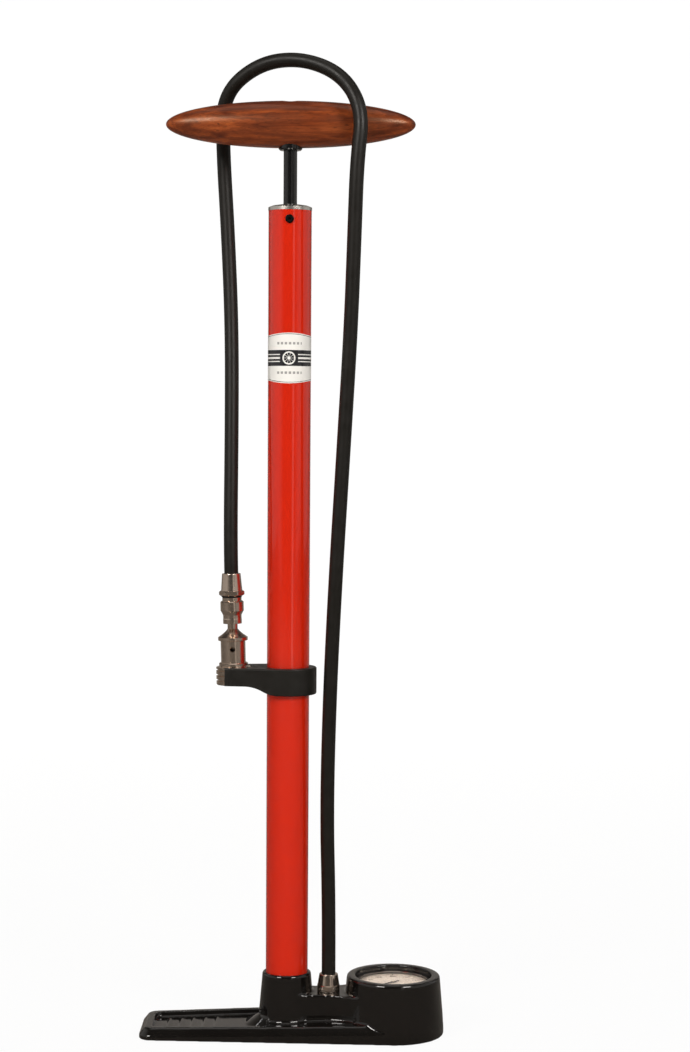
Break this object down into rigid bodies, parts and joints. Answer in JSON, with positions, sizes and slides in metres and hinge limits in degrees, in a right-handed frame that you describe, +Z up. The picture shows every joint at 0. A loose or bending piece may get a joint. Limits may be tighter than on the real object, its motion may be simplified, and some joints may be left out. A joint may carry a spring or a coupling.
{
  "type": "floor bike pump",
  "caption": "Upright floor pump with a tubular barrel, wooden cross handle, cast foot with a gauge pod, and a hose looped over the handle to a chuck parked in a clamp.",
  "frame": {"origin": "foot of the barrel's axis on the surface that the pump stands on, at the middle of the rubber foot under the barrel", "axes": "+Z up along the barrel, +X from the barrel towards the gauge pod, +Y to the back, so the decal faces -Y"},
  "size_m": [0.23, 0.077, 0.7308],
  "materials": {
    "foot_enamel": "gloss",
    "rubber": "matte",
    "black_steel": "satin",
    "barrel_enamel": "gloss",
    "brass": "satin",
    "steel": "satin",
    "aluminium": "satin",
    "nylon": "matte",
    "leather": "matte",
    "black_rod": "gloss",
    "varnished_wood": "gloss",
    "dial": "satin",
    "lens": "gloss",
    "bezel": "polished",
    "needle_black": "satin",
    "dark_nickel": "satin",
    "clamp_plastic": "satin",
    "hose_rubber": "satin",
    "decal": "gloss"
  },
  "bodies": {
    "pump_base": {"base_casting": "foot_enamel", "rubber_feet": "rubber", "gallery_plug": "black_steel", "barrel": "barrel_enamel", "barrel_seal": "rubber", "check_valve_body": "brass", "check_spring": "steel", "barrel_cap": "aluminium", "rod_bush": "nylon", "rod_bumper": "rubber", "cap_screws": "black_steel", "gauge_case": "steel", "gauge_dial": "dial", "lens_gasket": "rubber", "gauge_lens": "lens", "gauge_bezel": "bezel", "gauge_socket": "brass", "stem_seal": "rubber", "bourdon_tube": "brass", "movement_frame": "brass", "hose_port_fitting": "dark_nickel", "hose_foot_ferrule": "dark_nickel", "dock_clamp": "clamp_plastic", "clamp_screw": "black_steel", "chuck_collar": "dark_nickel", "chuck_gasket": "rubber", "chuck_body": "dark_nickel", "chuck_bell": "dark_nickel", "coupling_nut": "dark_nickel", "coupling_seal": "rubber", "hose_end_ferrule": "dark_nickel", "hose": "hose_rubber", "barrel_decal": "decal"},
    "piston": {"piston_body": "aluminium", "piston_guide_ring": "nylon", "piston_cup": "leather", "cup_follower": "steel"},
    "plunger": {"rod": "black_rod", "piston_nut": "steel", "handle_saddle_washer": "black_steel", "handle": "varnished_wood", "handle_bolt_washer": "steel", "handle_bolt": "black_steel"},
    "valve_ball": {"check_ball": "steel"},
    "sector": {"sector_gear": "brass", "gauge_link": "brass"},
    "pointer": {"pinion_arbor": "brass", "needle": "needle_black"}
  },
  "joints": [
    {"name": "plunger_stroke", "type": "slide", "parent": "pump_base", "child": "piston", "axis": [0, 0, 1], "range_m": [0, 0.555], "deforming": ["hose"]},
    {"name": "handle_turn", "type": "hinge", "parent": "piston", "child": "plunger", "pos_m": [0, 0, 0.6793], "axis": [0, 0, 1], "range_deg": [0, 120]},
    {"name": "check_valve", "type": "slide", "parent": "pump_base", "child": "valve_ball", "axis": [0, 0, -1], "range_m": [0, 0.0012], "stiffness_N_per_m": 100, "springref_m": -0.001, "deforming": ["check_spring"]},
    {"name": "sector_swing", "type": "hinge", "parent": "pump_base", "child": "sector", "pos_m": [0.0965, -0.00564, 0.03], "axis": [0, 0, 1], "range_deg": [0, 27], "stiffness_Nm_per_rad": 0.01, "springref_deg": -2.86},
    {"name": "needle_turn", "type": "hinge", "parent": "pump_base", "child": "pointer", "pos_m": [0.081, 0, 0.035], "axis": [0, 0, -1], "range_deg": [0, 270]}
  ],
  "couplings": [
    {"joint": "needle_turn", "follows": "sector_swing", "ratio": 10}
  ]
}
